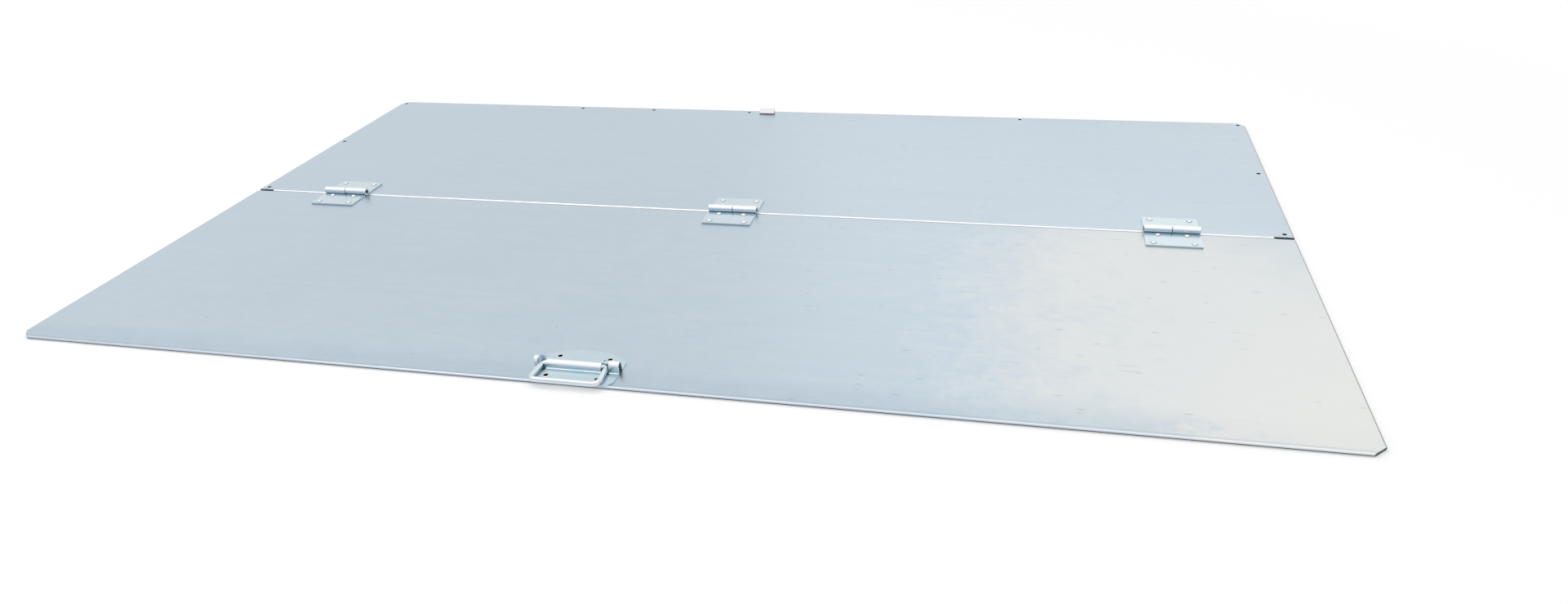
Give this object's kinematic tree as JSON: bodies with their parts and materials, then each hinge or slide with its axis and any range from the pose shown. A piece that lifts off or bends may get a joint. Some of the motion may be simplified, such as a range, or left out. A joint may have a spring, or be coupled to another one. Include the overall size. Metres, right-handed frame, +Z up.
{
  "type": "access cover",
  "caption": "Flat folding access cover of hemmed galvanised sheet: a fixed rear leaf with edge holes and a hinged front leaf that lifts by a drop handle.",
  "frame": {"origin": "centre of the overall box on the plane that the hems rest on", "axes": "+Z up out of the cover's face, +X along the joint to the right, the lifting edge toward -Y"},
  "size_m": [1.7, 1.0084, 0.0195],
  "materials": {
    "galvanised_sheet": "satin galvanised",
    "hinge_zinc": "bright zinc plated",
    "handle_zinc": "bright zinc plated",
    "rivet_zinc": "zinc plated",
    "pin_steel": "drawn steel",
    "lug_steel": "bright steel"
  },
  "bodies": {
    "fixed_leaf": {"rear_leaf": "galvanised_sheet", "left_hinge_rear_plate": "hinge_zinc", "left_hinge_pin": "pin_steel", "left_hinge_rear_rivets": "rivet_zinc", "middle_hinge_rear_plate": "hinge_zinc", "middle_hinge_pin": "pin_steel", "middle_hinge_rear_rivets": "rivet_zinc", "right_hinge_rear_plate": "hinge_zinc", "right_hinge_pin": "pin_steel", "right_hinge_rear_rivets": "rivet_zinc", "rear_lug": "lug_steel"},
    "lifting_leaf": {"front_leaf": "galvanised_sheet", "left_hinge_front_plate": "hinge_zinc", "left_hinge_front_rivets": "rivet_zinc", "middle_hinge_front_plate": "hinge_zinc", "middle_hinge_front_rivets": "rivet_zinc", "right_hinge_front_plate": "hinge_zinc", "right_hinge_front_rivets": "rivet_zinc", "handle_plate": "handle_zinc", "handle_rivets": "rivet_zinc"},
    "bail": {"handle_bail": "handle_zinc"}
  },
  "joints": [
    {"name": "leaf_fold", "type": "hinge", "parent": "fixed_leaf", "child": "lifting_leaf", "pos_m": [0, 0.01425, 0.0104], "axis": [-1, 0, 0], "range_deg": [0, 172]},
    {"name": "bail_swing", "type": "hinge", "parent": "lifting_leaf", "child": "bail", "pos_m": [-0.048, -0.46325, 0.00995], "axis": [-1, 0, 0], "range_deg": [0, 90]}
  ]
}
